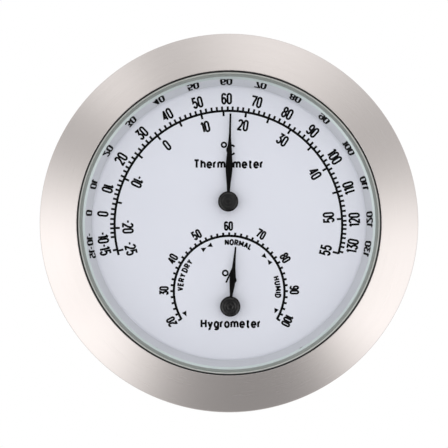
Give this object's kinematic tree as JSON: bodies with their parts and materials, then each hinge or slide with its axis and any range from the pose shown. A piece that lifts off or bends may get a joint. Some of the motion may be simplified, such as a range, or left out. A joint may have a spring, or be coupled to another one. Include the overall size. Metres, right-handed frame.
{
  "type": "dial thermo-hygrometer",
  "caption": "Round wall instrument with a conical brushed steel bezel, flat glass, polished reflector ring and a white dial; coil movements drive a thermometer and a hygrometer pointer.",
  "frame": {"origin": "centre of the back cover's flat back face, which lies against the wall", "axes": "+Y points into the wall, so the dial looks along -Y; +X is 3 o'clock seen from the front; +Z is 12 o'clock, up"},
  "size_m": [0.13, 0.0255, 0.13],
  "materials": {
    "brushed_steel": "circumferentially brushed stainless steel",
    "black_plastic": "fine-textured moulded ABS",
    "lens_glass": "clear float glass, ground edge",
    "gasket": "soft foam ring",
    "black_rubber": "moulded rubber",
    "polished_ring": "mirror-polished metal",
    "dial_white": "satin cool-white lacquer on sheet metal",
    "plated_steel": "zinc-plated steel",
    "brass": "turned brass",
    "bimetal": "rolled bimetal strip",
    "hygro_strip": "metal strip with a brown hygroscopic coating",
    "black_paint": "satin black paint"
  },
  "bodies": {
    "case": {"bezel_ring": "brushed_steel", "case_ring": "black_plastic", "lens": "lens_glass", "lens_gasket": "gasket", "lens_seal": "black_rubber", "reflector_ring": "polished_ring", "dial_plate": "dial_white", "back_cover": "black_plastic", "cover_screw_1": "plated_steel", "cover_screw_2": "plated_steel", "cover_screw_3": "plated_steel", "cover_screw_4": "plated_steel", "thermo_front_bush": "brass", "thermo_bush_nut": "brass", "thermo_bridge": "plated_steel", "thermo_rear_bearing": "brass", "thermo_friction_washer": "plated_steel", "hygro_front_bush": "brass", "hygro_bush_nut": "brass", "hygro_bridge": "plated_steel", "hygro_rear_bearing": "brass", "hygro_friction_washer": "plated_steel"},
    "thermo_adjuster": {"thermo_adjuster": "brass", "thermo_coil_stud": "brass"},
    "thermo_pointer": {"thermo_spindle": "plated_steel", "thermo_collet": "brass", "thermo_coil": "bimetal", "thermo_pointer": "black_paint", "thermo_hub_cap": "black_paint"},
    "hygro_adjuster": {"hygro_adjuster": "brass", "hygro_coil_stud": "brass"},
    "hygro_pointer": {"hygro_spindle": "plated_steel", "hygro_collet": "brass", "hygro_coil": "hygro_strip", "hygro_pointer": "black_paint", "hygro_hub_cap": "black_paint"}
  },
  "joints": [
    {"name": "thermo_adjust", "type": "hinge", "parent": "case", "child": "thermo_adjuster", "pos_m": [-0.00028, -0.0038, 0.00743], "axis": [0, 1, 0], "range_deg": [-15, 15]},
    {"name": "thermo_turn", "type": "hinge", "parent": "thermo_adjuster", "child": "thermo_pointer", "pos_m": [-0.00028, -0.0165, 0.00743], "axis": [0, 1, 0], "range_deg": [-116, 114], "stiffness_Nm_per_rad": 0.0005, "deforming": ["thermo_coil"]},
    {"name": "hygro_adjust", "type": "hinge", "parent": "case", "child": "hygro_adjuster", "pos_m": [0.00042, -0.0038, -0.02872], "axis": [0, 1, 0], "range_deg": [-15, 15]},
    {"name": "hygro_turn", "type": "hinge", "parent": "hygro_adjuster", "child": "hygro_pointer", "pos_m": [0.00042, -0.0165, -0.02872], "axis": [0, 1, 0], "range_deg": [-110, 100], "stiffness_Nm_per_rad": 0.0005, "deforming": ["hygro_coil"]}
  ]
}
